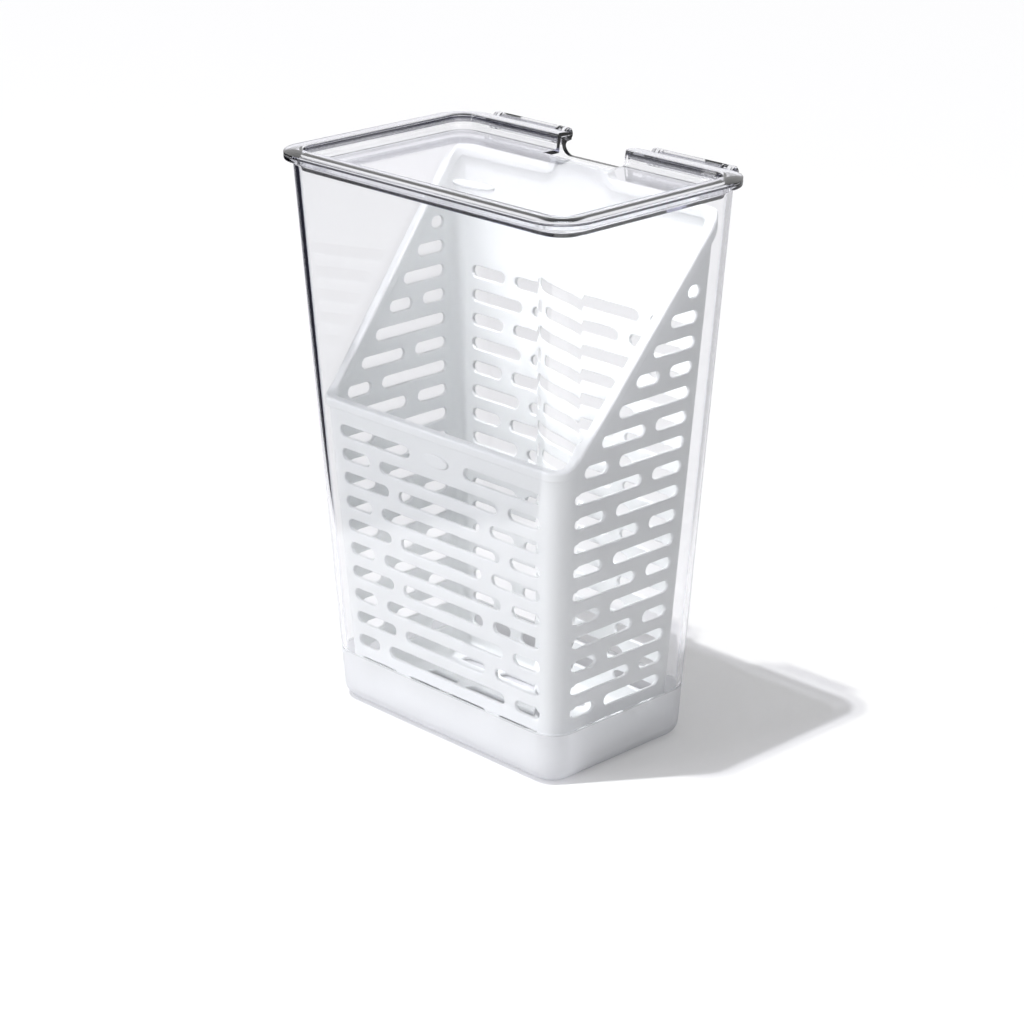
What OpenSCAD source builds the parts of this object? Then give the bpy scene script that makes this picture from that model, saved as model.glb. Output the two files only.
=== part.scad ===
// Herb keeper: a clear tapered container with a hinged lid and a slotted basket that lifts out.
// X runs along the wide front, Y to the back, Z up. The origin is the centre of the foot.

/* [Container] */
// Height from the foot to the top of the rim
container_h = 284.6; // [250:0.1:310]
// Width of the foot
foot_w = 158; // [146:1:170]
// Depth of the foot
foot_d = 96; // [90:1:106]
// Width of the body just below the rim
top_w = 192.6; // [188:0.2:206]
// Depth of the body just below the rim
top_d = 122.4; // [118:0.2:134]
// Radius of the upright corners at the foot
foot_corner_r = 13; // [12:0.5:16]
// Radius of the upright corners at the rim
top_corner_r = 15; // [13:0.5:20]
// Radius of the edge round the foot
foot_fillet = 7; // [4:0.5:9]
// Thickness of the container's walls
wall = 2.5; // [2:0.1:3]
// Thickness of the container's floor
floor_t = 3; // [2:0.1:4]
// How far the rim stands out from the body
rim_overhang = 4.3; // [3.6:0.1:6]
// Thickness of the rim
rim_t = 2.4; // [2:0.1:4]
// Radius of the hollow under the rim
cove_r = 2.6; // [1:0.1:3.4]

/* [Notch] */
// Width of the finger notch at the back
notch_w = 46; // [36:1:50]
// Depth of the finger notch below the top of the rim
notch_depth = 8.6; // [6:0.2:10]
// Radius of the notch's lower corners
notch_r = 6; // [2:0.5:7]

/* [Lid] */
// Gap between the rim and the lid
lid_gap = 0.3; // [0.2:0.1:0.6]
// Thickness of the crowned band round the lid, at its inner edge
band_t = 2.1; // [1.8:0.1:3]
// Thickness of the crowned band at the lid's outer edge
lid_edge_t = 0.9; // [0.6:0.1:1.6]
// Rounding of the band's inner edge
recess_round = 1; // [0.4:0.1:1.6]
// Depth of the recess below the top of the band
recess_depth = 8; // [6:0.5:10]
// Thickness of the lid's panel
panel_t = 2; // [1.5:0.1:3]
// Thickness of the wall round the recess
plug_wall = 1.8; // [1.4:0.1:2.6]
// Gap between the lid's plug and the container at the rim
plug_gap = 1; // [0.8:0.1:1.6]
// How much the plug draws in towards its lower edge
plug_draft = 1; // [0.5:0.1:2]
// Gap between the lid's notch and the basket's tab
tab_gap = 1; // [0.6:0.1:2]

/* [Hinges] */
// Radius of the hinge pins
pin_r = 2; // [1.6:0.1:2.4]
// Radial clearance of the pins
pin_clearance = 0.05; // [0.02:0.01:0.09]
// Radius of the knuckles and ears
knuckle_r = 3.5; // [3.3:0.1:3.8]
// Distance from the end of the rim to the outer ear
hinge_end = 19.5; // [16:0.5:30]
// Depth of the hinge's axis below the lower face of the lid
pin_drop = 1.8; // [1.6:0.1:2]
// Gap between a knuckle and the rim, and between a knuckle and an ear
knuckle_gap = 0.4; // [0.3:0.1:0.8]
// Thickness of each ear
ear_t = 5.5; // [3.5:0.5:6]
// Distance from the notch to the nearest ear
ear_inset = 6; // [1:0.5:12]
// Length of the snap groove on each knuckle
groove_len = 11; // [8:1:16]
// Width of the snap groove
groove_w = 1.2; // [0.8:0.1:1.6]
// Depth of the snap groove
groove_depth = 0.9; // [0.4:0.1:1.2]
// Distance from the knuckle's outer end to the snap groove
groove_inset = 1.5; // [1:0.5:6]

/* [Basket] */
// Gap between the basket's lip and the container's sides, drawn down to the foot
side_gap_foot = 2.5; // [2:0.1:4]
// Gap between the basket's lip and the container's sides, drawn up to the top of the rim
side_gap_top = 1; // [0.8:0.1:2]
// Gap between the basket's lip and the container's front and back, with the basket in the middle
long_gap = 4.5; // [3:0.1:6]
// How much tighter the basket's upright corners are than the container's
corner_cut = 3.4; // [2:0.1:5]
// How far the basket stands in front of the container's middle
basket_forward = 1.5; // [0:0.1:2]
// Gap under the basket where it stands in the container
seat_gap = 0.3; // [0.2:0.1:0.5]
// Thickness of the basket's walls and floor
basket_wall = 2.2; // [1.8:0.1:2.8]
// How far the lip stands out from the basket's walls
lip_out = 1.5; // [1:0.1:3]
// How far the lip stands in from the basket's walls
lip_in = 2; // [1:0.1:3]
// Height of the lip
lip_t = 4.6; // [3:0.2:7]
// Radius of the edge under the basket's floor
basket_fillet = 6; // [4:0.5:7]
// Height of the basket's low front
front_h = 162.4; // [140:0.4:180]
// How far the flat front lip runs back before the sides start to climb
front_run = 7; // [6:0.5:12]
// Radius of the bend where the sides start to climb
bend_r = 10; // [6:1:16]
// Distance from the top of the rim down to the basket's shoulders
shoulder_drop = 13.6; // [12.6:0.2:18]
// Width of the tab at the back
tab_w = 40; // [30:1:42]
// Distance from the floor of the notch down to the top of the tab
tab_drop = 0.6; // [0.4:0.1:2]

/* [Slots] */
// Height of each slot
slot_h = 6.1; // [4:0.1:7]
// Distance between the rows of slots
slot_pitch = 12.54; // [11:0.01:14]
// Distance from the front lip down to the first row
slot_drop = 15.8; // [12:0.2:20]
// Gap between two slots in a row
slot_gap = 7.6; // [5:0.2:10]
// Margin at both ends of a long wall's row at the foot, from the lip's outer face
slot_margin = 11; // [10.6:0.2:16]
// Margin at both ends of a long wall's row at the rim, from the lip's outer face
slot_margin_top = 16.6; // [12:0.2:20]
// Margin at both ends of a side wall's row, from the lip's outer face
side_margin = 12.4; // [11.6:0.2:16]
// Solid margin below the sloping lip, measured level
slope_margin = 13.2; // [11:0.2:18]
// Solid margin above the floor's edge
floor_margin = 7; // [5:0.5:12]
// Half the length of the middle slot in the short rows
short_half = 28.4; // [24:0.2:34]
// Half the length of the middle slot in the long rows
long_half = 41.6; // [36:0.2:46]
// Half the width left solid in the front's first row
badge_half = 19.2; // [14:0.2:24]
// Where the long slot of a side row ends, from the middle
side_split = 8; // [5:0.5:12]
// Height left solid at the top of the back wall
back_solid = 46.6; // [40:0.2:70]

/* [Hidden] */
$fn = 48;
eps = 0.01;
far = 400;
corner_steps = 6;
fillet_steps = 5;
edge_steps = 3;
bend_steps = 6;
crown_steps = 4;

// Half sizes and corner radius of the container's outer skin at height z
function half_w(z) = (foot_w + (top_w - foot_w) * z / container_h) / 2;
function half_d(z) = (foot_d + (top_d - foot_d) * z / container_h) / 2;
function corner_r(z) = foot_corner_r + (top_corner_r - foot_corner_r) * z / container_h;

rim_w = top_w + 2 * rim_overhang;
rim_d = top_d + 2 * rim_overhang;
rim_r = top_corner_r + rim_overhang;
rim_z = container_h - rim_t;
notch_z = container_h - notch_depth;

lid_z = container_h + lid_gap;
lid_top = lid_z + band_t;
panel_top = lid_top - recess_depth;
panel_z = panel_top - panel_t;
plug_inset = wall + plug_gap;

hinge_y = rim_d / 2 + knuckle_r + knuckle_gap;
hinge_z = lid_z - pin_drop;
ear_x = notch_w / 2 + ear_inset;
knuckle_x = ear_x + ear_t + knuckle_gap;
outer_ear_x = rim_w / 2 - hinge_end - ear_t;
knuckle_end_x = outer_ear_x - knuckle_gap;

// Half sizes and corner radius over the basket's lip at height z
function lip_w(z) = half_w(z) - wall - side_gap_foot + (side_gap_foot - side_gap_top) * z / container_h;
function lip_d(z) = half_d(z) - wall - long_gap;
function lip_r(z) = corner_r(z) - corner_cut;

// Insets of the basket's surfaces from the lip's outer face
inner_inset = lip_out + basket_wall;
lip_inner_inset = inner_inset + lip_in;
basket_z = floor_t + seat_gap;
wall_z = basket_z + basket_fillet;
shoulder_z = container_h - shoulder_drop;
tab_z = notch_z - tab_drop;
tab_rise = tab_z - shoulder_z;

// The sides climb from the bend, behind the front lip, to the shoulders at the back
bend_y = front_run - lip_d(front_h);
slope_top_y = lip_d(shoulder_z) - lip_inner_inset + 1;
slope_run = slope_top_y - bend_y;
slope_angle = atan2(shoulder_z - front_h, slope_run);
bend_centre_y = bend_y - bend_r * tan(slope_angle / 2);
bend_centre_z = front_h + bend_r;
function slope_y(z) = bend_y + (z - front_h) * slope_run / (shoulder_z - front_h);

// Rows are counted down from the first front row; rows above it have negative numbers
row_z = front_h - slot_drop;
low_row = floor((row_z - wall_z - floor_margin - slot_h / 2) / slot_pitch);
back_row = -floor((shoulder_z - back_solid - slot_h / 2 - row_z) / slot_pitch);
side_row = -floor((shoulder_z - row_z) / slot_pitch);
function z_of(row) = row_z - row * slot_pitch;
function is_long(row) = abs(row) % 2 == 1;
function row_end(z) = lip_w(z) - slot_margin - (slot_margin_top - slot_margin) * z / container_h;

// Four walls part at the corners, on upright planes at 45 degrees
split_z = container_h / 2;
split_r = lip_r(split_z) - lip_out;
split_x = lip_w(split_z) - lip_out - split_r * (1 - cos(45));
split_y = lip_d(split_z) - lip_out - split_r * (1 - cos(45));
split_in = 24;
split_out = 24;

// Points of a rounded rectangle at height z, from its half sizes and corner radius
function ring(hw, hd, r, z) = [
    for (quarter = [0:3])
        let (sx = (quarter == 0 || quarter == 3) ? 1 : -1)
        let (sy = quarter < 2 ? 1 : -1)
        for (step = [0:corner_steps])
            let (a = quarter * 90 + step * 90 / corner_steps)
            [sx * (hw - r) + r * cos(a), sy * (hd - r) + r * sin(a), z]
];

// Rings of the container and of the basket that are inset at height z, and lie lower by drop
function body_ring(z, inset, drop = 0) =
    ring(half_w(z) - inset, half_d(z) - inset, max(corner_r(z) - inset, 1), z - drop);
function basket_ring(z, inset, drop = 0) =
    ring(lip_w(z) - inset, lip_d(z) - inset, max(lip_r(z) - inset, 1), z - drop);

// Rings of the quarter round between a floor at height z and a wall, in the container or the basket
function body_fillet_rings(z, inset, r) = [
    for (step = [0:fillet_steps])
        let (a = step * 90 / fillet_steps)
        body_ring(z + r * (1 - cos(a)), inset + r * (1 - sin(a)))
];
function basket_fillet_rings(z, inset, r) = [
    for (step = [0:fillet_steps])
        let (a = step * 90 / fillet_steps)
        basket_ring(z + r * (1 - cos(a)), inset + r * (1 - sin(a)))
];

// Rings of the rim from the wall, round the hollow below it, to its upper edge
function rim_rings() = [
    for (step = [0:edge_steps])
        let (a = step * 90 / edge_steps)
        body_ring(rim_z - cove_r * (1 - sin(a)), -cove_r * (1 - cos(a))),
    body_ring(rim_z, -rim_overhang),
    body_ring(container_h, -rim_overhang)
];

// Rings of the lid's crowned band, from its outer edge up to its flat inner part
function crown_rings(hw, hd, corner, width) = [
    for (step = [0:crown_steps])
        let (in = width * step / crown_steps)
        let (rise = 1 - pow(1 - step / crown_steps, 2))
        ring(hw - in, hd - in, corner - in, lid_z + lid_edge_t + (band_t - lid_edge_t) * rise)
];

// Rings of the recess where its mouth widens by the radius r, up to height z
function mouth_rings(hw, hd, corner, r, z) = [
    for (step = [0:edge_steps])
        let (a = step * 90 / edge_steps)
        let (out = r * (1 - cos(a)))
        ring(hw + out, hd + out, corner + out, z - r * (1 - sin(a)))
];

module loft(rings) {
    n = len(rings[0]);
    last = len(rings) - 1;
    polyhedron(
        points = [for (one = rings) each one],
        faces = concat(
            [[for (i = [0:n - 1]) i]],
            [[for (i = [n - 1:-1:0]) last * n + i]],
            [for (k = [0:last - 1]) for (i = [0:n - 1]) [k * n + i, (k + 1) * n + i, k * n + (i + 1) % n]],
            [for (k = [0:last - 1]) for (i = [0:n - 1])
                [k * n + (i + 1) % n, (k + 1) * n + i, (k + 1) * n + (i + 1) % n]]
        )
    );
}

// A slot with round ends, from x0 to x1 and centred on height z
module slot(x0, x1, z) {
    r = slot_h / 2;
    if (x1 - x0 > slot_h + 1) {
        translate([x0 + r, z - r])
            square([x1 - x0 - slot_h, slot_h]);
        translate([x0 + r, z])
            circle(r);
        translate([x1 - r, z])
            circle(r);
    }
}

// Turns a drawing in X and Z into a prism along Y, and one in Y and Z into a prism along X
module along_y(y0, y1) {
    translate([0, y1, 0])
        rotate([90, 0, 0])
            linear_extrude(y1 - y0)
                children();
}

module along_x(x0, x1) {
    translate([x0, 0, 0])
        rotate([90, 0, 90])
            linear_extrude(x1 - x0)
                children();
}

// The finger notch, drawn in X and Z
module notch_shape() {
    translate([-notch_w / 2, notch_z + notch_r])
        square([notch_w, far]);
    translate([-notch_w / 2 + notch_r, notch_z])
        square([notch_w - 2 * notch_r, notch_r + eps]);
    for (x = [-1, 1]) {
        translate([x * (notch_w / 2 - notch_r), notch_z + notch_r])
            circle(notch_r);
    }
}

module container() {
    color("lightsteelblue")
        difference() {
            loft(concat(body_fillet_rings(0, 0, foot_fillet), rim_rings()));
            loft(concat(
                body_fillet_rings(floor_t, wall, foot_fillet - wall / 2),
                [body_ring(container_h, wall), body_ring(container_h, wall, -1)]
            ));
            along_y(0, rim_d)
                notch_shape();
        }
}

// Two ears on the rim with a pin between them, on the side that s gives
module hinge_mount(s) {
    pin_x = ear_x + ear_t;
    color("slategray") {
        for (x = [ear_x, outer_ear_x]) {
            mirror([s < 0 ? 1 : 0, 0, 0])
                along_x(x, x + ear_t) {
                    translate([hinge_y, hinge_z])
                        circle(knuckle_r);
                    translate([rim_d / 2, rim_z])
                        square([hinge_y - rim_d / 2, rim_t]);
                }
        }
        mirror([s < 0 ? 1 : 0, 0, 0])
            along_x(pin_x, outer_ear_x)
                translate([hinge_y, hinge_z])
                    circle(pin_r);
    }
}

module lid() {
    half = [rim_w / 2, rim_d / 2];
    plug = [top_w / 2 - plug_inset, top_d / 2 - plug_inset];
    plug_r = top_corner_r - plug_inset;
    recess = [plug[0] - plug_wall, plug[1] - plug_wall];
    recess_r = plug_r - plug_wall;
    mouth = [recess[0] + recess_round, recess[1] + recess_round];
    notch_y = lip_d(tab_z) - basket_forward - lip_inner_inset - tab_gap;
    color("lavender")
        difference() {
            union() {
                loft(concat(
                    [ring(half[0], half[1], rim_r, lid_z)],
                    crown_rings(half[0], half[1], rim_r, half[0] - mouth[0])
                ));
                loft([
                    ring(plug[0] - plug_draft, plug[1] - plug_draft, plug_r - plug_draft, panel_z),
                    ring(plug[0], plug[1], plug_r, lid_z + eps)
                ]);
            }
            loft(concat(
                [ring(recess[0] - plug_draft, recess[1] - plug_draft, recess_r - plug_draft, panel_top)],
                mouth_rings(recess[0], recess[1], recess_r, recess_round, lid_top),
                [ring(mouth[0], mouth[1], recess_r + recess_round, lid_top + 1)]
            ));
            translate([-notch_w / 2, notch_y, panel_z - 1])
                cube([notch_w, rim_d, recess_depth + panel_t + 2]);
        }
}

// A knuckle on the back edge of the lid that turns on a pin, on the side that s gives
module hinge_knuckle(s) {
    groove_x = knuckle_end_x - groove_inset - groove_len;
    color("thistle")
        mirror([s < 0 ? 1 : 0, 0, 0])
            difference() {
                along_x(knuckle_x, knuckle_end_x)
                    difference() {
                        union() {
                            translate([hinge_y, hinge_z])
                                circle(knuckle_r);
                            translate([rim_d / 2, lid_z])
                                square([hinge_y - rim_d / 2, lid_edge_t]);
                        }
                        translate([hinge_y, hinge_z])
                            circle(pin_r + pin_clearance);
                    }
                translate([groove_x, hinge_y - groove_w / 2, hinge_z + knuckle_r - groove_depth])
                    cube([groove_len, groove_w, 2 * groove_depth]);
            }
}

// The side view of the basket, drawn in Y and Z and lowered by off from its top edge
module side_shape(off) {
    r = bend_r + off;
    arc = [
        for (step = [0:bend_steps])
            let (a = -90 + slope_angle * step / bend_steps)
            [bend_centre_y + r * cos(a), bend_centre_z + r * sin(a)]
    ];
    reach = far / 2;
    end = arc[bend_steps] + reach * [cos(slope_angle), sin(slope_angle)];
    intersection() {
        polygon(concat(
            [[-far / 2, 0], [-far / 2, front_h - off]],
            arc,
            [end, [far / 2, end[1]], [far / 2, 0]]
        ));
        translate([-far / 2, 0])
            square([far, shoulder_z - off]);
    }
}

// The top edge of the back wall, drawn in X and Z and lowered by off: shoulders and a tab
module back_shape(off) {
    r = tab_rise + off;
    half = tab_w / 2 - off;
    translate([-far / 2, 0])
        square([far, shoulder_z - off]);
    difference() {
        translate([-half - r, shoulder_z - off - eps])
            square([2 * (half + r), tab_rise + eps]);
        for (x = [-1, 1]) {
            translate([x * (half + r), shoulder_z - off + r])
                circle(r, $fn = 96);
        }
    }
}

// Walls of the basket between the floor's edge and the top edge that the two shapes give
module basket_shell() {
    intersection() {
        tube(lip_out, inner_inset);
        children(0);
    }
    intersection() {
        tube(0, lip_inner_inset);
        difference() {
            children(0);
            children(1);
        }
    }
}

// A tube along the basket's taper, from above the basket's floor, between two insets
module tube(outer, inner) {
    difference() {
        loft([basket_ring(wall_z, outer), basket_ring(container_h, outer)]);
        loft([basket_ring(wall_z, inner, 1), basket_ring(container_h, inner, -1)]);
    }
}

// The part of the plan that one wall takes, front or back for s of -1 or 1
module long_sector(s) {
    linear_extrude(far)
        polygon([
            [-split_x - split_out, s * (split_y + split_out)],
            [split_x + split_out, s * (split_y + split_out)],
            [split_x - split_in, s * (split_y - split_in)],
            [-split_x + split_in, s * (split_y - split_in)]
        ]);
}

module side_sector(s) {
    linear_extrude(far)
        polygon([
            [s * (split_x + split_out), -split_y - split_out],
            [s * (split_x + split_out), split_y + split_out],
            [s * (split_x - split_in), split_y - split_in],
            [s * (split_x - split_in), -split_y + split_in]
        ]);
}

// Slots of the front and the back wall, in rows of three that change from row to row
module long_slots(first_row) {
    for (row = [first_row:low_row]) {
        z = z_of(row);
        end = row_end(z);
        middle = is_long(row) ? long_half : short_half;
        slot(-end, -middle - slot_gap, z);
        slot(-middle, middle, z);
        slot(middle + slot_gap, end, z);
    }
}

// Slots of a side wall: a long and a short one that change places from row to row.
// Above the front's first row the slope cuts them short, and what is left is shared out.
module side_slots() {
    for (row = [side_row:low_row]) {
        z = z_of(row);
        end = lip_d(z) - side_margin;
        start = z > row_z ? max(-end, slope_y(z) + slope_margin) : -end;
        half_way = (start + end - slot_gap) / 2;
        split = is_long(row) ? -side_split - slot_gap : max(side_split, half_way);
        if (split - start > slot_h + 1) {
            slot(start, split, z);
            slot(split + slot_gap, end, z);
        } else {
            slot(start, end, z);
        }
    }
}

module side_solid(off) {
    along_x(-far / 2, far / 2)
        side_shape(off);
}

module back_solid_shape(off) {
    along_y(-far / 2, far / 2)
        back_shape(off);
}

module basket_front_wall() {
    color("white")
        difference() {
            intersection() {
                basket_shell() {
                    side_solid(0);
                    side_solid(lip_t);
                }
                long_sector(-1);
            }
            along_y(-far / 2, 0) {
                long_slots(1);
                slot(-row_end(row_z), -badge_half, row_z);
                slot(badge_half, row_end(row_z), row_z);
            }
        }
}

module basket_side_wall(s) {
    color("gainsboro")
        difference() {
            intersection() {
                basket_shell() {
                    side_solid(0);
                    side_solid(lip_t);
                }
                side_sector(s);
            }
            mirror([s < 0 ? 1 : 0, 0, 0])
                along_x(0, far / 2)
                    side_slots();
        }
}

module basket_back_wall() {
    color("white")
        difference() {
            intersection() {
                basket_shell() {
                    back_solid_shape(0);
                    back_solid_shape(lip_t);
                }
                long_sector(1);
            }
            along_y(0, far / 2)
                long_slots(back_row);
        }
}

// Where the basket stands in the container
module seated() {
    translate([0, -basket_forward, 0])
        children();
}

module basket_floor() {
    inner_z = basket_z + basket_wall;
    color("whitesmoke")
        difference() {
            loft(basket_fillet_rings(basket_z, lip_out, basket_fillet));
            loft(concat(
                basket_fillet_rings(inner_z, inner_inset, basket_fillet - basket_wall),
                [basket_ring(wall_z, inner_inset, -1)]
            ));
            linear_extrude(far)
                for (row = [-2:2]) {
                    slot(-short_half, short_half, row * slot_pitch);
                    for (s = [-1, 1]) {
                        end = row_end(0) - basket_fillet;
                        slot(
                            s > 0 ? short_half + slot_gap : -end,
                            s > 0 ? end : -short_half - slot_gap,
                            row * slot_pitch
                        );
                    }
                }
        }
}

container();
hinge_mount(-1);  // left_hinge_mount
hinge_mount(1);  // right_hinge_mount
lid();
hinge_knuckle(-1);  // left_hinge_knuckle
hinge_knuckle(1);  // right_hinge_knuckle
seated() basket_floor();
seated() basket_front_wall();
seated() basket_side_wall(-1);  // basket_left_wall
seated() basket_side_wall(1);  // basket_right_wall
seated() basket_back_wall();
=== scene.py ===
"""Herb keeper: a clear tapered container, its hinged lid and a slotted white basket inside."""

import math

import bmesh
import bpy
from mathutils import Matrix, Vector


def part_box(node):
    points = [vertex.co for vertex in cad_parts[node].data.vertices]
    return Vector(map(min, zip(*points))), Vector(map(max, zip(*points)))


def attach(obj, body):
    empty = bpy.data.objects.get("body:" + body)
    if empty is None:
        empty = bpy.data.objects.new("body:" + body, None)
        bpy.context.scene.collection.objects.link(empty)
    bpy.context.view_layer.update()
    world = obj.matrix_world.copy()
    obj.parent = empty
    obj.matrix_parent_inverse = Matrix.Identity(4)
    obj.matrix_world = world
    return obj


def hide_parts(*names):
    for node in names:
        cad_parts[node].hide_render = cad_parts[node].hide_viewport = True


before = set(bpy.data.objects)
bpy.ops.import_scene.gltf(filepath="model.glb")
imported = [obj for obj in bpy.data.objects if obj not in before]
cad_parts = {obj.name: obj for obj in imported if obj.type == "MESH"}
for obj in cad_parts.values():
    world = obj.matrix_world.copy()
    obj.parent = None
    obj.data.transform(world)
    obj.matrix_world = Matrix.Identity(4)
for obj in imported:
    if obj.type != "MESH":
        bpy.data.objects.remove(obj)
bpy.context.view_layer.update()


# ----------------------------------------------------------------------------------------------
# Container
# A tapered box, injection moulded in clear copolyester, with a rim that stands out, a finger
# notch at the back and the ears and pins of the hinges. An etched zone of the mould leaves the
# foot frosted, where the water stands.
# ----------------------------------------------------------------------------------------------
MM = 0.001

foot_w = 158.0
foot_d = 96.0
foot_corner = 13.0
foot_fillet = 7.0
rim_overhang = 4.3
rim_t = 2.4
rim_edge = 0.5
cove_r = 2.6
top_corner = 15.0
wall = 2.5
floor_t = 3.0
notch_half = 23.0
notch_depth = 8.6
notch_r = 6.0

container_low, container_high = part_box("container")
rim_half = (container_high.x / MM, container_high.y / MM)
container_h = container_high.z / MM
top_half = (rim_half[0] - rim_overhang, rim_half[1] - rim_overhang)
notch_z = container_h - notch_depth


def tapered(foot, top, z, inset):
    """Half width, half depth and corner radius at height z of a widening body, less an inset."""
    half_w, half_d, corner = (a + (b - a) * z / container_h for a, b in zip(foot, top))
    return half_w - inset, half_d - inset, max(corner - inset, 0.8)


def skin(z, inset=0.0):
    """The container's outer face, or a face inside it."""
    return tapered((foot_w / 2, foot_d / 2, foot_corner), (*top_half, top_corner), z, inset)


def ring(half_w, half_d, corner, z, stops_x=(), stops_y=(), steps=12):
    """A rounded rectangle at height z, with extra points at the stops along its straight sides."""
    points = []
    sides = (((1, 1), sorted(stops_x, reverse=True), None),
             ((-1, 1), None, sorted(stops_y, reverse=True)),
             ((-1, -1), sorted(stops_x), None),
             ((1, -1), None, sorted(stops_y)))
    for turn, ((sx, sy), along_x, along_y) in enumerate(sides):
        for step in range(steps + 1):
            angle = math.radians(90 * turn + 90 * step / steps)
            points.append(Vector((sx * (half_w - corner) + corner * math.cos(angle),
                                  sy * (half_d - corner) + corner * math.sin(angle), z)))
        points += [Vector((x, sy * half_d, z)) for x in along_x or ()]
        points += [Vector((sx * half_w, y, z)) for y in along_y or ()]
    return points


def quarter(r, steps=5):
    """A rounding as distances (in, back) from the sharp corner, from (0, r) to (r, 0)."""
    angles = [math.pi / 2 * step / steps for step in range(steps + 1)]
    return [(r * (1 - math.cos(a)), r * (1 - math.sin(a))) for a in angles]


def make_piece(name, points, faces):
    """A mesh object from points in millimetres, with its faces turned outwards."""
    mesh = bpy.data.meshes.new(name)
    mesh.from_pydata([Vector(p) * MM for p in points], [], faces)
    shape = bmesh.new()
    shape.from_mesh(mesh)
    bmesh.ops.recalc_face_normals(shape, faces=shape.faces)
    shape.to_mesh(mesh)
    shape.free()
    piece = bpy.data.objects.new(name, mesh)
    bpy.context.scene.collection.objects.link(piece)
    return piece


def loft(name, rings, joined=False):
    """Skins rings of equally many points. Both ends are capped, or the last joins the first."""
    n = len(rings[0])
    points = [p for one in rings for p in one]
    pairs = list(zip(range(len(rings)), range(1, len(rings))))
    if joined:
        pairs.append((len(rings) - 1, 0))
    faces = [(a * n + i, a * n + (i + 1) % n, b * n + (i + 1) % n, b * n + i)
             for a, b in pairs for i in range(n)]
    if not joined:
        faces.append(tuple(reversed(range(n))))
        faces.append(tuple((len(rings) - 1) * n + i for i in range(n)))
    return make_piece(name, points, faces)


def combine(piece, tool, operation):
    """Adds the tool to the piece or cuts it out, and removes the tool."""
    modifier = piece.modifiers.new(operation, "BOOLEAN")
    modifier.operation = operation
    modifier.solver = "MANIFOLD"
    modifier.object = tool
    done = piece.evaluated_get(bpy.context.evaluated_depsgraph_get())
    mesh = bpy.data.meshes.new_from_object(done)
    piece.modifiers.clear()
    piece.data = mesh
    bpy.data.objects.remove(tool)


def smooth(piece, sharp_angle=35):
    """Smooth shading that keeps flat faces flat beside their rounded edges."""
    piece.data.shade_smooth()
    piece.data.set_sharp_from_angle(angle=math.radians(sharp_angle))
    weighted = piece.modifiers.new("normals", "WEIGHTED_NORMAL")
    weighted.keep_sharp = True
    weighted.weight = 80


def prism(name, outline, axis, start, end):
    """An outline in the other two axes, drawn out along X or Y."""
    if axis == "X":
        return loft(name, [[(x, *p) for p in outline] for x in (start, end)])
    return loft(name, [[(x, y, z) for x, z in reversed(outline)] for y in (start, end)])


container_rings = [ring(*skin(b, a), b) for a, b in reversed(quarter(foot_fillet, 8))]
rim_z = container_h - rim_t


def rim_ring(out, z):
    return ring(*skin(z, -out), z)


container_rings += [rim_ring(a, rim_z - b) for a, b in quarter(cove_r, 8)]
container_rings += [rim_ring(rim_overhang - a, rim_z + b) for a, b in reversed(quarter(rim_edge))]
container_rings += [rim_ring(rim_overhang - a, container_h - b) for a, b in quarter(rim_edge)]
container_rings += [rim_ring(a - wall, container_h - b) for a, b in reversed(quarter(rim_edge))]
inner_fillet = foot_fillet - wall / 2
container_rings += [ring(*skin(floor_t + b, wall + a), floor_t + b)
                    for a, b in quarter(inner_fillet, 8)]
container = loft("container_shell", container_rings)

notch_steps = [math.pi / 2 * step / 8 for step in range(9)]
notch_corner = [(notch_half - notch_r + notch_r * math.sin(a),
                 notch_z + notch_r - notch_r * math.cos(a)) for a in notch_steps]
above_rim = container_h + 20
notch_outline = [(notch_half, above_rim)] + notch_corner[::-1]
notch_outline += [(-x, z) for x, z in notch_corner] + [(-notch_half, above_rim)]
combine(container, prism("notch", notch_outline, "Y", 20, rim_half[1] + 1), "DIFFERENCE")

# The ears and pins are part of the same moulding.
knuckle_r = 3.5
pin_r = 2.0
pin_root = 1.0
ear_t = 5.5
ear_edge = 0.6
ear_web_inset = 0.2
web_root = 1.5
hinge_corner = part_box("right_hinge_mount")[1]
hinge_y = hinge_corner.y / MM - knuckle_r
hinge_z = hinge_corner.z / MM - knuckle_r


def turned(name, sections):
    """A round piece on the hinge's axis, from (x, radius) sections."""
    angles = [2 * math.pi * step / 32 for step in range(32)]
    return loft(name, [[(x, hinge_y + r * math.cos(a), hinge_z + r * math.sin(a)) for a in angles]
                       for x, r in sections])


def rod(name, start, stop, r):
    return turned(name, [(x, r) for x in sorted((start, stop))])


def barrel(start, stop, edge, web_inset, web_low, web_high):
    """A round ear or knuckle with soft ends, and the flat web that joins it to its moulding."""
    start, stop = sorted((start, stop))
    sections = [(start, knuckle_r - edge), (start + edge, knuckle_r),
                (stop - edge, knuckle_r), (stop, knuckle_r - edge)]
    made = turned("barrel", sections)
    web = [(rim_half[1] - web_root, web_low), (hinge_y, web_low),
           (hinge_y, web_high), (rim_half[1] - web_root, web_high)]
    combine(made, prism("web", web, "X", start + web_inset, stop - web_inset), "UNION")
    return made


for side, name in ((-1, "left_hinge_mount"), (1, "right_hinge_mount")):
    low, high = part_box(name)
    ends = sorted((low.x / MM, high.x / MM), key=abs)
    for start in (ends[0], ends[1] - side * ear_t):
        ear = barrel(start, start + side * ear_t, ear_edge, ear_web_inset, rim_z + ear_web_inset,
                     container_h - ear_web_inset / 2)
        combine(container, ear, "UNION")
    pin = rod("pin", ends[0] + side * pin_root, ends[1] - side * pin_root, pin_r)
    combine(container, pin, "UNION")
smooth(container)


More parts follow.
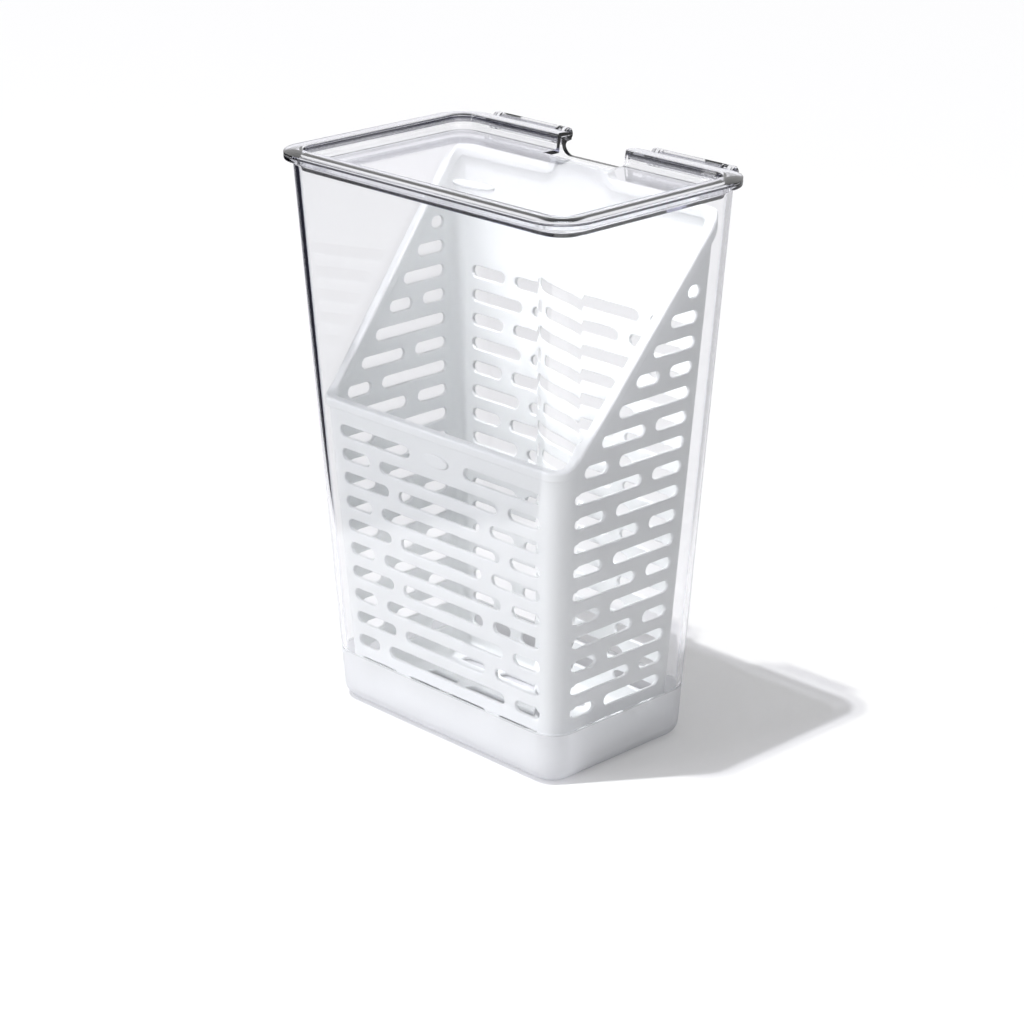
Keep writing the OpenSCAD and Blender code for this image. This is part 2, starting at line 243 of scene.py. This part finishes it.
def colour(hex_value):
    """A hex sRGB colour as the linear values that the shaders take."""
    parts = [int(hex_value[i:i + 2], 16) / 255 for i in (1, 3, 5)]
    return [c / 12.92 if c <= 0.04045 else ((c + 0.055) / 1.055) ** 2.4 for c in parts] + [1.0]


def add_node(tree, kind, inputs=None, **settings):
    """Adds a shader node, with its settings, and its inputs set or linked."""
    made = tree.nodes.new("ShaderNode" + kind)
    for name, value in settings.items():
        setattr(made, name, value)
    for name, value in (inputs or {}).items():
        if isinstance(value, bpy.types.NodeSocket):
            tree.links.new(value, made.inputs[name])
        else:
            made.inputs[name].default_value = value
    return made


def new_material(name):
    material = bpy.data.materials.new(name)
    material.use_nodes = True
    material.node_tree.nodes.clear()
    return material, material.node_tree


# Clear copolyester, moulded in a polished tool: a hard gloss, and a lavender colour painted in
# where the eye looks along a wall, partly the plastic's own cast and partly painted shade for its
# dark edges.
# The frosted foot scatters light and looks milky. Lamps shine through the walls, so what stands
# inside is lit, and only slanting faces throw a shadow.
frost_z = 26.8
frost_fade = 0.3
frost_share = 0.72
frost_roughness = 0.24
polish_roughness = 0.02
copolyester_ior = 1.54
cast_density = 15.0
wave_size = 18.0
lid_gap = 0.3
joint_z = container_h + lid_gap / 2
# Height of the painted shade line at the gap between rim and lid.
gap_shade_height = 1.1
upright_lean = 0.85


def clear_copolyester(name, frosted):
    material, tree = new_material(name)
    spot = add_node(tree, "TexCoord").outputs
    place = spot["Object"]
    height = add_node(tree, "SeparateXYZ", {"Vector": place}).outputs["Z"]
    waves = add_node(tree, "TexNoise", {
        "Vector": place, "Scale": 1 / (wave_size * MM), "Detail": 1.0})
    bump = add_node(tree, "Bump", {
        "Height": waves.outputs["Fac"], "Strength": 0.05, "Distance": 0.05 * MM})
    slant = add_node(tree, "LayerWeight", {"Blend": 0.5}).outputs["Facing"]
    # Where the eye looks along a wall the glass turns a darker lavender: partly the plastic's own
    # cast, partly painted shade for the dark edges that refraction draws.
    tint = add_node(tree, "ValToRGB", {"Fac": slant})
    tint.color_ramp.elements[0].position = 0.68
    tint.color_ramp.elements[0].color = colour("#FFFFFF")
    tint.color_ramp.elements[1].position = 1.0
    tint.color_ramp.elements[1].color = colour("#B4B4D8")

    # Painted shade: upright faces get a fine dark line, painted into the glass's colour where the
    # rim and the lid meet, in place of the shade in the gap between them.
    off_joint = add_node(tree, "Math", {0: height, 1: joint_z * MM}, operation="SUBTRACT")
    off_joint = add_node(tree, "Math", {0: off_joint.outputs[0]}, operation="ABSOLUTE")
    near = add_node(tree, "Math", {0: off_joint.outputs[0], 1: gap_shade_height / 2 * MM},
                    operation="LESS_THAN")
    lean = add_node(tree, "SeparateXYZ", {"Vector": spot["Normal"]}).outputs["Z"]
    lean = add_node(tree, "Math", {0: lean}, operation="ABSOLUTE")
    upright = add_node(tree, "Math", {0: lean.outputs[0], 1: upright_lean}, operation="LESS_THAN")
    line = add_node(tree, "Math", {0: near.outputs[0], 1: upright.outputs[0]}, operation="MULTIPLY")
    gap_shaded_colour = add_node(tree, "Mix", data_type="RGBA")
    tree.links.new(line.outputs[0], gap_shaded_colour.inputs[0])
    tree.links.new(tint.outputs["Color"], gap_shaded_colour.inputs[6])
    # The dark grey of the painted gap shade.
    gap_shaded_colour.inputs[7].default_value = colour("#50505C")
    plastic = add_node(tree, "BsdfPrincipled", {
        "Base Color": gap_shaded_colour.outputs[2], "Transmission Weight": 1.0, "IOR": copolyester_ior,
        "Roughness": polish_roughness, "Normal": bump.outputs["Normal"]})
    shader = plastic.outputs["BSDF"]
    if frosted:
        frost = add_node(tree, "MapRange", {
            "Value": height, "From Min": (frost_z + frost_fade) * MM,
            "From Max": (frost_z - frost_fade) * MM})
        rough = add_node(tree, "MapRange", {
            "Value": frost.outputs["Result"], "To Min": polish_roughness,
            "To Max": frost_roughness})
        tree.links.new(rough.outputs["Result"], plastic.inputs["Roughness"])
        milk = add_node(tree, "BsdfTranslucent", {"Color": colour("#F8F8F9")})
        surface = add_node(tree, "BsdfDiffuse", {"Color": colour("#F4F5F6")})
        haze = add_node(tree, "MixShader", {0: 0.5, 1: milk.outputs[0], 2: surface.outputs[0]})
        share = add_node(tree, "Math", {0: frost.outputs["Result"], 1: frost_share},
                         operation="MULTIPLY")
        shader = add_node(tree, "MixShader", {
            0: share.outputs[0], 1: shader, 2: haze.outputs[0]}).outputs[0]

    # A lamp's light passes where it meets a wall squarely, and is held back where it slants.
    lamp_ray = add_node(tree, "LightPath").outputs["Is Shadow Ray"]
    passed = add_node(tree, "ValToRGB", {"Fac": slant})
    passed.color_ramp.elements[0].position = 0.5
    passed.color_ramp.elements[0].color = colour("#F6F6F7")
    passed.color_ramp.elements[1].position = 0.8
    passed.color_ramp.elements[1].color = colour("#6E6E72")
    through = add_node(tree, "BsdfTransparent", {"Color": passed.outputs["Color"]})
    shader = add_node(tree, "MixShader", {
        0: lamp_ray, 1: shader, 2: through.outputs[0]}).outputs[0]
    cast = add_node(tree, "VolumeAbsorption", {
        "Color": colour("#9496C4"), "Density": cast_density})
    add_node(tree, "OutputMaterial", {"Surface": shader, "Volume": cast.outputs[0]})
    return material


container.data.materials.clear()
container.data.materials.append(clear_copolyester("clear_copolyester_frosted_foot", True))
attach(container, "container")
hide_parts("container", "left_hinge_mount", "right_hinge_mount")


# ----------------------------------------------------------------------------------------------
# Lid
# One more moulding of the same clear copolyester: a crowned band all round, a recessed panel that
# plugs the container's mouth, and two knuckles at the back that turn on the pins.
# ----------------------------------------------------------------------------------------------
lid_edge_t = 0.9
lid_edge_round = 0.3
recess_round = 1.0
plug_gap = 1.0
plug_wall = 1.8
plug_draft = 1.0
plug_edge = 0.6
crown_steps = 12
panel_t = 2.0
panel_fillet = 1.4
pin_clearance = 0.05
knuckle_edge = 0.4
knuckle_web_inset = 0.3
groove_inset = 1.5
groove_len = 11.0
groove_w = 1.2
groove_depth = 0.9

lid_low, lid_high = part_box("lid")
lid_top = lid_high.z / MM
panel_z = lid_low.z / MM
lid_z = container_h + lid_gap
crown_h = lid_top - lid_z - lid_edge_t
panel_top = panel_z + panel_t
plug_inset = wall + plug_gap
recess_inset = plug_inset + plug_wall


def lid_ring(inset, z):
    """The lid's outline at height z, drawn in from the body's skin at the rim."""
    return ring(top_half[0] - inset, top_half[1] - inset, max(top_corner - inset, 0.8), z)


# From the panel's underside out to the edge, over the crown and down into the recess.
lid_rings = [lid_ring(plug_inset + plug_draft + a, panel_z + b)
             for a, b in reversed(quarter(plug_edge, 3))]
lid_rings += [lid_ring(plug_inset, lid_z)]
lid_rings += [lid_ring(a - rim_overhang, lid_z + b)
              for a, b in reversed(quarter(lid_edge_round, 3))]
crown_w = recess_inset - recess_round + rim_overhang
for step in range(crown_steps + 1):
    share = (step / crown_steps) ** 1.5
    lid_rings.append(lid_ring(crown_w * share - rim_overhang,
                              lid_z + lid_edge_t + crown_h * (1 - (1 - share) ** 2)))
lid_rings += [lid_ring(recess_inset - a, lid_top - b) for a, b in reversed(quarter(recess_round))]
lid_rings += [lid_ring(recess_inset + plug_draft + a, panel_top + b)
              for a, b in quarter(panel_fillet)]
lid = loft("lid_shell", lid_rings)

# The notch lets the basket's tab and a finger through.
lid_notch_front = 45.6
notch_block = [(-notch_half, panel_z - 5), (notch_half, panel_z - 5),
               (notch_half, lid_top + 5), (-notch_half, lid_top + 5)]
combine(lid, prism("notch", notch_block, "Y", lid_notch_front, rim_half[1] + 5), "DIFFERENCE")

# Each knuckle is bored for its pin and grooved along its top, so that it can snap on.
knuckle_top = hinge_z + knuckle_r
groove = [(hinge_y - groove_w / 2, knuckle_top - groove_depth),
          (hinge_y + groove_w / 2, knuckle_top - groove_depth),
          (hinge_y + groove_w / 2, knuckle_top + 1), (hinge_y - groove_w / 2, knuckle_top + 1)]
for side, name in ((-1, "left_hinge_knuckle"), (1, "right_hinge_knuckle")):
    low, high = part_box(name)
    ends = sorted((low.x / MM, high.x / MM), key=abs)
    knuckle = barrel(*ends, knuckle_edge, knuckle_web_inset, lid_z + 0.1, lid_z + lid_edge_t)
    combine(lid, knuckle, "UNION")
    combine(lid, rod("bore", ends[0] - side, ends[1] + side, pin_r + pin_clearance), "DIFFERENCE")
    groove_start = ends[1] - side * (groove_len + groove_inset)
    lo, hi = sorted((groove_start, groove_start + side * groove_len))
    combine(lid, prism("groove", groove, "X", lo, hi), "DIFFERENCE")
smooth(lid)
lid.data.materials.clear()
lid.data.materials.append(clear_copolyester("clear_copolyester_lid", False))
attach(lid, "lid")
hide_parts("lid", "left_hinge_knuckle", "right_hinge_knuckle")


# ----------------------------------------------------------------------------------------------
# Basket
# One moulding in matte white polypropylene: four slotted walls on a dished floor, with a low
# front, sides that climb to the back, a thick lip round the edge and a lift tab at the back.
# ----------------------------------------------------------------------------------------------
lip_foot = (74.0, 41.0, 9.6)
lip_head = (92.8, 54.2, 11.6)
basket_forward = 1.5
seat_gap = 0.3
basket_wall = 2.2
lip_out = 1.5
lip_in = 2.0
lip_t = 4.6
lip_edge = 1.3
lip_low_edge = 0.6
basket_fillet = 6.0
front_h = 162.4
front_run = 7.0
bend_r = 10.0
tab_half = 20.0
tab_round = 1.5

basket_z = floor_t + seat_gap
wall_z = basket_z + basket_fillet
tab_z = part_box("basket_back_wall")[1].z / MM
shoulder_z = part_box("basket_left_wall")[1].z / MM
tab_rise = tab_z - shoulder_z
inner_inset = lip_out + basket_wall
lip_inner_inset = inner_inset + lip_in


def basket_skin(z, inset=0.0):
    """The same as skin, from the outer face of the basket's lip; the basket is built centred."""
    return tapered(lip_foot, lip_head, z, inset)


bend_y = front_run - basket_skin(front_h)[1]
slope_top_y = basket_skin(shoulder_z)[1] - lip_inner_inset + 1
slope_rise = (shoulder_z - front_h) / (slope_top_y - bend_y)
slope_angle = math.atan(slope_rise)
bend_centre_y = bend_y - bend_r * math.tan(slope_angle / 2)


def side_edge(y, lowered=0.0):
    """Height of the basket's edge from the side: a low front, a bend, a slope and the shoulders."""
    r = bend_r + lowered
    if y <= bend_centre_y:
        height = front_h - lowered
    elif y < bend_centre_y + r * math.sin(slope_angle):
        height = front_h + bend_r - math.sqrt(r * r - (y - bend_centre_y) ** 2)
    else:
        height = front_h + (y - bend_y) * slope_rise - lowered / math.cos(slope_angle)
    return min(height, shoulder_z - lowered)


def back_edge(x, lowered=0.0):
    """Height of the back wall's edge: shoulders, and a tab that rises on hollow flares."""
    r = tab_rise + lowered
    half = tab_half - lowered
    beyond = abs(x) - half
    if beyond >= r:
        return shoulder_z - lowered
    if beyond > 0:
        return tab_z - math.sqrt(r * r - (r - beyond) ** 2)
    corner = max(beyond + tab_round, 0)
    return tab_z - tab_round + math.sqrt(tab_round ** 2 - corner ** 2)


flare_steps = [math.pi / 2 * step / 9 for step in range(10)]
tab_stops = [tab_half + tab_rise * (1 - math.sin(a)) for a in flare_steps]
tab_stops += [tab_half - lip_t + (tab_rise + lip_t) * (1 - math.sin(a)) for a in flare_steps]
tab_stops += [tab_half - tab_round * (1 - math.sin(a)) for a in flare_steps[:-1:2]]
tab_stops = sorted({round(x, 2) for x in tab_stops if x > 2})
stops_x = [-x for x in tab_stops] + [0.0] + tab_stops
stops_y = [-20.0, 0.0, 20.0]


def column(inset):
    """Each column of the basket's surface at this inset, as its points at foot and rim height."""
    low = ring(*basket_skin(0, inset), 0.0, stops_x, stops_y)
    high = ring(*basket_skin(container_h, inset), container_h, stops_x, stops_y)
    return list(zip(low, high))


def at_height(columns, heights):
    """One point on each column, at its own height."""
    return [low.lerp(high, z / container_h) for (low, high), z in zip(columns, heights)]


def edge_heights(lowered=0.0):
    """Height of the edge on each column, from where the middle of the lip stands in plan."""
    columns = column(lip_inner_inset / 2)
    heights = [shoulder_z] * len(columns)
    back_y = basket_skin(shoulder_z, lip_inner_inset)[1]
    for _ in range(6):
        spots = at_height(columns, heights)
        heights = [back_edge(p.x, lowered) if p.y > back_y - 1 and abs(p.x) < tab_half + 20
                   else side_edge(p.y, lowered) for p in spots]
    return heights


def basket_ring(z, inset):
    return ring(*basket_skin(z, inset), z, stops_x, stops_y)


top_edge = edge_heights()
under_lip = edge_heights(lip_t * 0.5)
inner_z = basket_z + basket_wall
basket_rings = [basket_ring(basket_z + b, lip_out + a)
                for a, b in reversed(quarter(basket_fillet, 7))]
basket_rings += [at_height(column(inset), under_lip) for inset in (lip_out, inner_inset)]
basket_rings += [basket_ring(inner_z + b, inner_inset + a)
                 for a, b in quarter(basket_fillet - basket_wall, 6)]
basket = loft("basket_body", basket_rings)

# The slots have round ends, and soft edges inside and out. A cutter's surface follows the wall's
# taper, so that each edge is rounded the same all along.
slot_h = 6.1
slot_pitch = 12.54
slot_drop = 15.8
slot_gap = 7.6
slot_margin = 11.0
slot_margin_top = 16.6
side_margin = 12.4
slope_margin = 13.2
floor_margin = 7.0
short_half = 28.4
long_half = 41.6
badge_half = 19.2
side_split = 8.0
back_solid = 46.6
slot_edge = 0.8
slot_shortest = slot_h + 1
cutter_reach = 0.6
cutter_lead = 0.02

row_z = front_h - slot_drop
low_row = math.floor((row_z - wall_z - floor_margin - slot_h / 2) / slot_pitch)
back_row = -math.floor((shoulder_z - back_solid - slot_h / 2 - row_z) / slot_pitch)
side_row = -math.floor((shoulder_z - row_z) / slot_pitch)


def slot_rings(x0, x1, z, thickness):
    """A slot's cutter as rings of (along, height, depth), wider where it leaves each face."""
    r = slot_h / 2
    ends = [math.radians(-90 + 180 * step / 9) for step in range(10)]
    edge = quarter(slot_edge, 4)
    depths = [(-cutter_reach, slot_edge)] + [(a - cutter_lead, b) for a, b in edge]
    depths += [(thickness + cutter_lead - a, b) for a, b in reversed(edge)]
    depths += [(thickness + cutter_reach, slot_edge)]
    rings = []
    for depth, grow in depths:
        arc = [((r + grow) * math.cos(a), (r + grow) * math.sin(a)) for a in ends]
        rings.append([(x1 - r + across, z + up, depth) for across, up in arc]
                     + [(x0 + r - across, z - up, depth) for across, up in arc])
    return rings


def row_end(z):
    """Where the rows of the front and back walls end, nearer the corner at the foot."""
    return basket_skin(z)[0] - slot_margin - (slot_margin_top - slot_margin) * z / container_h


def long_wall_slots(first_row):
    """Slots of the front and back walls as (from, to, height), three in a row."""
    slots = []
    for row in range(first_row, low_row + 1):
        z = row_z - row * slot_pitch
        middle = long_half if abs(row) % 2 == 1 else short_half
        slots += [(-row_end(z), -middle - slot_gap, z), (-middle, middle, z),
                  (middle + slot_gap, row_end(z), z)]
    return slots


def side_wall_slots():
    """Slots of a side wall, a long and a short one in a row, cut short above by the slope."""
    slots = []
    for row in range(side_row, low_row + 1):
        z = row_z - row * slot_pitch
        end = basket_skin(z)[1] - side_margin
        start = max(-end, bend_y + (z - front_h) / slope_rise + slope_margin) if z > row_z else -end
        if abs(row) % 2 == 1:
            split = -side_split - slot_gap
        else:
            split = max(side_split, (start + end - slot_gap) / 2)
        if split - start > slot_shortest:
            slots += [(start, split, z), (split + slot_gap, end, z)]
        else:
            slots.append((start, end, z))
    return [s for s in slots if s[1] - s[0] > slot_shortest]


def cut_slots(slots, to_place):
    """Cuts all the slots of one wall; to_place turns (along, height, depth) into a point."""
    points, faces = [], []
    for x0, x1, z in slots:
        rings = [[to_place(*p) for p in one] for one in slot_rings(x0, x1, z, basket_wall)]
        n, base = len(rings[0]), len(points)
        points += [p for one in rings for p in one]
        faces += [(base + k * n + i, base + k * n + (i + 1) % n,
                   base + (k + 1) * n + (i + 1) % n, base + (k + 1) * n + i)
                  for k in range(len(rings) - 1) for i in range(n)]
        faces.append(tuple(base + i for i in reversed(range(n))))
        faces.append(tuple(base + (len(rings) - 1) * n + i for i in range(n)))
    combine(basket, make_piece("slots", points, faces), "DIFFERENCE")


front_slots = [(-row_end(row_z), -badge_half, row_z), (badge_half, row_end(row_z), row_z)]
cut_slots(front_slots + long_wall_slots(1), lambda x, z, d: (x, d - basket_skin(z, lip_out)[1], z))
cut_slots(long_wall_slots(back_row), lambda x, z, d: (-x, basket_skin(z, lip_out)[1] - d, z))
cut_slots(side_wall_slots(), lambda y, z, d: (basket_skin(z, lip_out)[0] - d, y, z))
cut_slots(side_wall_slots(), lambda y, z, d: (d - basket_skin(z, lip_out)[0], y, z))
floor_end = row_end(0) - basket_fillet
floor_slots = [(x0, x1, row * slot_pitch) for row in range(-2, 3)
               for x0, x1 in ((-floor_end, -short_half - slot_gap), (-short_half, short_half),
                              (short_half + slot_gap, floor_end))]
cut_slots(floor_slots, lambda x, y, d: (x, -y, basket_z + d))


# The lip is a rounded band that follows the whole edge, and grips like a rolled rim.
lip_low = edge_heights(lip_t)
outside, inside = column(0.0), column(lip_inner_inset)


def lip_ring(share, below):
    """A line along the lip, at shares of the way to its outer face and to its underside."""
    spots = [i.lerp(o, share)
             for i, o in zip(at_height(inside, top_edge), at_height(outside, top_edge))]
    return [Vector((p.x, p.y, high + (low - high) * below))
            for p, high, low in zip(spots, top_edge, lip_low)]


lip_w = lip_out + basket_wall + lip_in
above, below = quarter(lip_edge, 4), quarter(lip_low_edge, 3)
lip_rings = [lip_ring(1 - a / lip_w, b / lip_t) for a, b in above]
lip_rings += [lip_ring(a / lip_w, b / lip_t) for a, b in reversed(above)]
lip_rings += [lip_ring(a / lip_w, 1 - b / lip_t) for a, b in below]
lip_rings += [lip_ring(1 - a / lip_w, 1 - b / lip_t) for a, b in reversed(below)]
basket_lip = loft("basket_lip", lip_rings, joined=True)
smooth(basket)
smooth(basket_lip, 50)


# Polypropylene with a white pigment, moulded in a finely sparked tool: a soft sheen, a faint
# grain and a little light that travels under the surface.
grain_size = 0.9
flow_size = 45.0


def white_polypropylene():
    material, tree = new_material("white_polypropylene")
    place = add_node(tree, "TexCoord").outputs["Object"]
    grain = add_node(tree, "TexNoise", {
        "Vector": place, "Scale": 1 / (grain_size * MM), "Detail": 2.0})
    bump = add_node(tree, "Bump", {
        "Height": grain.outputs["Fac"], "Strength": 0.25, "Distance": 0.03 * MM})
    flow = add_node(tree, "TexNoise", {
        "Vector": place, "Scale": 1 / (flow_size * MM), "Detail": 1.0})
    tint = add_node(tree, "ValToRGB", {"Fac": flow.outputs["Fac"]})
    tint.color_ramp.elements[0].color = colour("#EEF0F0")
    tint.color_ramp.elements[1].color = colour("#F4F6F6")
    rough = add_node(tree, "MapRange", {
        "Value": grain.outputs["Fac"], "To Min": 0.38, "To Max": 0.5})
    plastic = add_node(tree, "BsdfPrincipled", {
        "Base Color": tint.outputs["Color"], "Roughness": rough.outputs["Result"], "IOR": 1.49,
        "Subsurface Weight": 0.15, "Subsurface Radius": (1.0, 1.0, 1.0),
        "Subsurface Scale": 0.8 * MM, "Normal": bump.outputs["Normal"]})
    add_node(tree, "OutputMaterial", {"Surface": plastic.outputs["BSDF"]})
    return material


polypropylene = white_polypropylene()
for piece in (basket, basket_lip):
    piece.data.transform(Matrix.Translation((0, -basket_forward * MM, 0)))
    piece.data.materials.clear()
    piece.data.materials.append(polypropylene)
    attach(piece, "basket")
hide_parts("basket_floor", "basket_front_wall", "basket_left_wall", "basket_right_wall",
            "basket_back_wall")


# ----------------------------------------------------------------------------------------------
# Badges
# Two bare oval plates: a white one printed on the lid's panel, and one moulded on the basket's
# front, in the space that the first row of slots leaves.
# ----------------------------------------------------------------------------------------------
badge_w = 17.8
badge_h = 7.1
badge_rise = 0.9
badge_sink = 0.3
lid_badge_w = 26.5
lid_badge_d = 10.0
lid_badge_rise = 0.35
lid_badge_y = -23.3


def oval(name, w, h, rise, to_place):
    """A low oval plate with a rounded edge; to_place turns (along, up, out) into a point."""
    angles = [2 * math.pi * step / 64 for step in range(64)]
    profile = [(0, -badge_sink)] + [(a, rise - b) for a, b in quarter(rise, 4)]
    profile += [(1.0, rise), (1.3, rise - 0.15)]
    return loft(name, [[to_place((w / 2 - back) * math.cos(a), (h / 2 - back) * math.sin(a), out)
                        for a in angles] for back, out in profile])


badge_z = row_z + 1.0


def on_front(x, up, out):
    """A point over the basket's front wall, measured from the middle of its badge."""
    return x, -basket_forward - out - basket_skin(badge_z + up, lip_out)[1], badge_z + up


badge = oval("basket_badge", badge_w, badge_h, badge_rise, on_front)
smooth(badge)
badge.data.materials.append(polypropylene)
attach(badge, "basket")


# White ink with a slightly uneven gloss, so that the oval shines less than the panel round it.
def white_print():
    material, tree = new_material("white_gloss_ink")
    place = add_node(tree, "TexCoord").outputs["Object"]
    dots = add_node(tree, "TexNoise", {"Vector": place, "Scale": 1 / (0.6 * MM)})
    rough = add_node(tree, "MapRange", {"Value": dots.outputs["Fac"], "To Min": 0.2, "To Max": 0.3})
    ink = add_node(tree, "BsdfPrincipled", {
        "Base Color": colour("#F3F4F7"), "Roughness": rough.outputs["Result"], "IOR": 1.5})
    add_node(tree, "OutputMaterial", {"Surface": ink.outputs["BSDF"]})
    return material


lid_badge = oval("lid_badge", lid_badge_w, lid_badge_d, lid_badge_rise,
                 lambda x, y, out: (x, lid_badge_y + y, panel_top + out + lid_badge_rise))
smooth(lid_badge)
lid_badge.data.materials.append(white_print())
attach(lid_badge, "lid")


# ----------------------------------------------------------------------------------------------
# Studio
# A white sweep, one hard lamp high in front, which throws the shadow back and to the right, and
# large soft panels in front and at the right. Dark flags on the floor, out of the picture, and a
# ceiling that dims draw the lines in clear edges.
# ----------------------------------------------------------------------------------------------
floor_half = 6000
floor_lift = 0.12
azimuth = math.radians(45.84)
elevation = math.radians(20.87)
camera_distance = 1403.2
camera_aim = Vector((6.71, -4.63, 111.71))


def seen_share(tree):
    """1 where the eye meets a backdrop, straight on, in a gloss or through glass, else 0."""
    path = add_node(tree, "LightPath").outputs
    seen = add_node(tree, "Math", {0: path["Is Camera Ray"], 1: path["Is Glossy Ray"]},
                    operation="MAXIMUM")
    seen = add_node(tree, "Math", {0: seen.outputs[0], 1: path["Is Transmission Ray"]},
                    operation="MAXIMUM")
    first = add_node(tree, "Math", {0: path["Diffuse Depth"], 1: 0.5}, operation="LESS_THAN")
    share = add_node(tree, "Math", {0: seen.outputs[0], 1: first.outputs[0]}, operation="MULTIPLY")
    return share.outputs[0]


def studio_floor():
    material, tree = new_material("white_sweep")
    paper = add_node(tree, "BsdfDiffuse", {"Color": colour("#E7E7E8")})
    white = add_node(tree, "Emission", {"Color": (1, 1, 1, 1), "Strength": floor_lift})
    lifted = add_node(tree, "AddShader", {0: paper.outputs[0], 1: white.outputs[0]})

    # A black flag lies at the left and a grey one at the right. The ramp runs from 1 m at the
    # left of the middle to 1 m at its right.
    place = add_node(tree, "TexCoord").outputs["Object"]
    aside = add_node(tree, "VectorMath", {0: place, 1: (math.cos(azimuth), math.sin(azimuth), 0)},
                     operation="DOT_PRODUCT")
    aside = add_node(tree, "MapRange", {
        "Value": aside.outputs["Value"], "From Min": -1.0, "From Max": 1.0})
    flags = add_node(tree, "ValToRGB", {"Fac": aside.outputs[0]})
    flags.color_ramp.elements[0].position = 0.35
    flags.color_ramp.elements[0].color = (1, 1, 1, 1)
    flags.color_ramp.elements[1].position = 0.36
    flags.color_ramp.elements[1].color = (0, 0, 0, 1)
    flags.color_ramp.elements.new(0.62).color = (0, 0, 0, 1)
    flags.color_ramp.elements.new(0.66).color = (0.35, 0.35, 0.35, 1)

    # The eye doesn't meet the flags straight on, nor through two clear walls, which have 4 faces.
    path = add_node(tree, "LightPath").outputs
    two_walls = add_node(tree, "Math", {0: path["Transmission Depth"], 1: 4.0, 2: 0.5},
                         operation="COMPARE")
    spared = add_node(tree, "Math", {0: two_walls.outputs[0], 1: path["Is Camera Ray"]},
                      operation="MAXIMUM")
    flag = add_node(tree, "Math", {0: flags.outputs["Color"], 1: spared.outputs[0]},
                    operation="SUBTRACT", use_clamp=True)
    black = add_node(tree, "Emission", {"Color": (0.02, 0.02, 0.03, 1)})
    flagged = add_node(tree, "MixShader", {
        0: flag.outputs[0], 1: lifted.outputs[0], 2: black.outputs[0]})
    shown = add_node(tree, "MixShader", {
        0: seen_share(tree), 1: paper.outputs[0], 2: flagged.outputs[0]})
    add_node(tree, "OutputMaterial", {"Surface": shown.outputs[0]})
    return material


floor = loft("floor", [ring(floor_half, floor_half, 1000, z) for z in (-5, -0.05)])
floor.data.materials.append(studio_floor())

world = bpy.data.worlds.new("studio")
bpy.context.scene.world = world
world.use_nodes = True
sky = world.node_tree
sky.nodes.clear()
direction = add_node(sky, "TexCoord").outputs["Generated"]
up = add_node(sky, "SeparateXYZ", {"Vector": direction}).outputs["Z"]
tent = add_node(sky, "ValToRGB", {"Fac": up})
tent.color_ramp.elements[0].position = 0.48
tent.color_ramp.elements[0].color = (1, 1, 1, 1)
tent.color_ramp.elements[1].position = 0.66
tent.color_ramp.elements[1].color = (0.3, 0.3, 0.33, 1)
soft_fill = add_node(sky, "Background", {"Color": (1, 1, 1, 1), "Strength": 0.45})
backdrop = add_node(sky, "Background", {"Color": tent.outputs["Color"], "Strength": 1.0})
surround = add_node(sky, "MixShader", {
    0: seen_share(sky), 1: soft_fill.outputs[0], 2: backdrop.outputs[0]})
add_node(sky, "OutputWorld", {"Surface": surround.outputs[0]})


def lamp(name, kind, place, aim, energy, size):
    """A lamp with places in millimetres. A sun's size is its angle in degrees."""
    light = bpy.data.lights.new(name, kind)
    light.energy = energy
    made = bpy.data.objects.new(name, light)
    made.location = Vector(place) * MM
    made.rotation_euler = (Vector(place) - Vector(aim)).to_track_quat("Z", "Y").to_euler()
    if kind == "AREA":
        light.shape = "RECTANGLE"
        light.size, light.size_y = size[0] * MM, size[1] * MM
    else:
        light.angle = math.radians(size)
    made.visible_transmission = False
    bpy.context.scene.collection.objects.link(made)


lamp("key", "SUN", (-95, -265, 1000), (0, 0, 0), 2.0, 0.9)
lamp("front_panel", "AREA", (-700, -1500, 500), (0, 0, 140), 12, (900, 1200))
lamp("right_panel", "AREA", (1300, -500, 700), (0, 0, 140), 2, (700, 1200))

camera = bpy.data.objects.new("camera", bpy.data.cameras.new("camera"))
bpy.context.scene.collection.objects.link(camera)
bpy.context.scene.camera = camera
camera.data.lens = 100
camera.data.sensor_width = 36
camera.data.clip_end = 20
back = Vector((math.sin(azimuth) * math.cos(elevation), -math.cos(azimuth) * math.cos(elevation),
               math.sin(elevation)))
camera.location = (camera_aim + back * camera_distance) * MM
camera.rotation_euler = back.to_track_quat("Z", "Y").to_euler()
bpy.context.scene.view_settings.view_transform = "Standard"
bpy.context.scene.cycles.max_bounces = 24
bpy.context.scene.cycles.transmission_bounces = 24
bpy.context.scene.cycles.transparent_max_bounces = 32
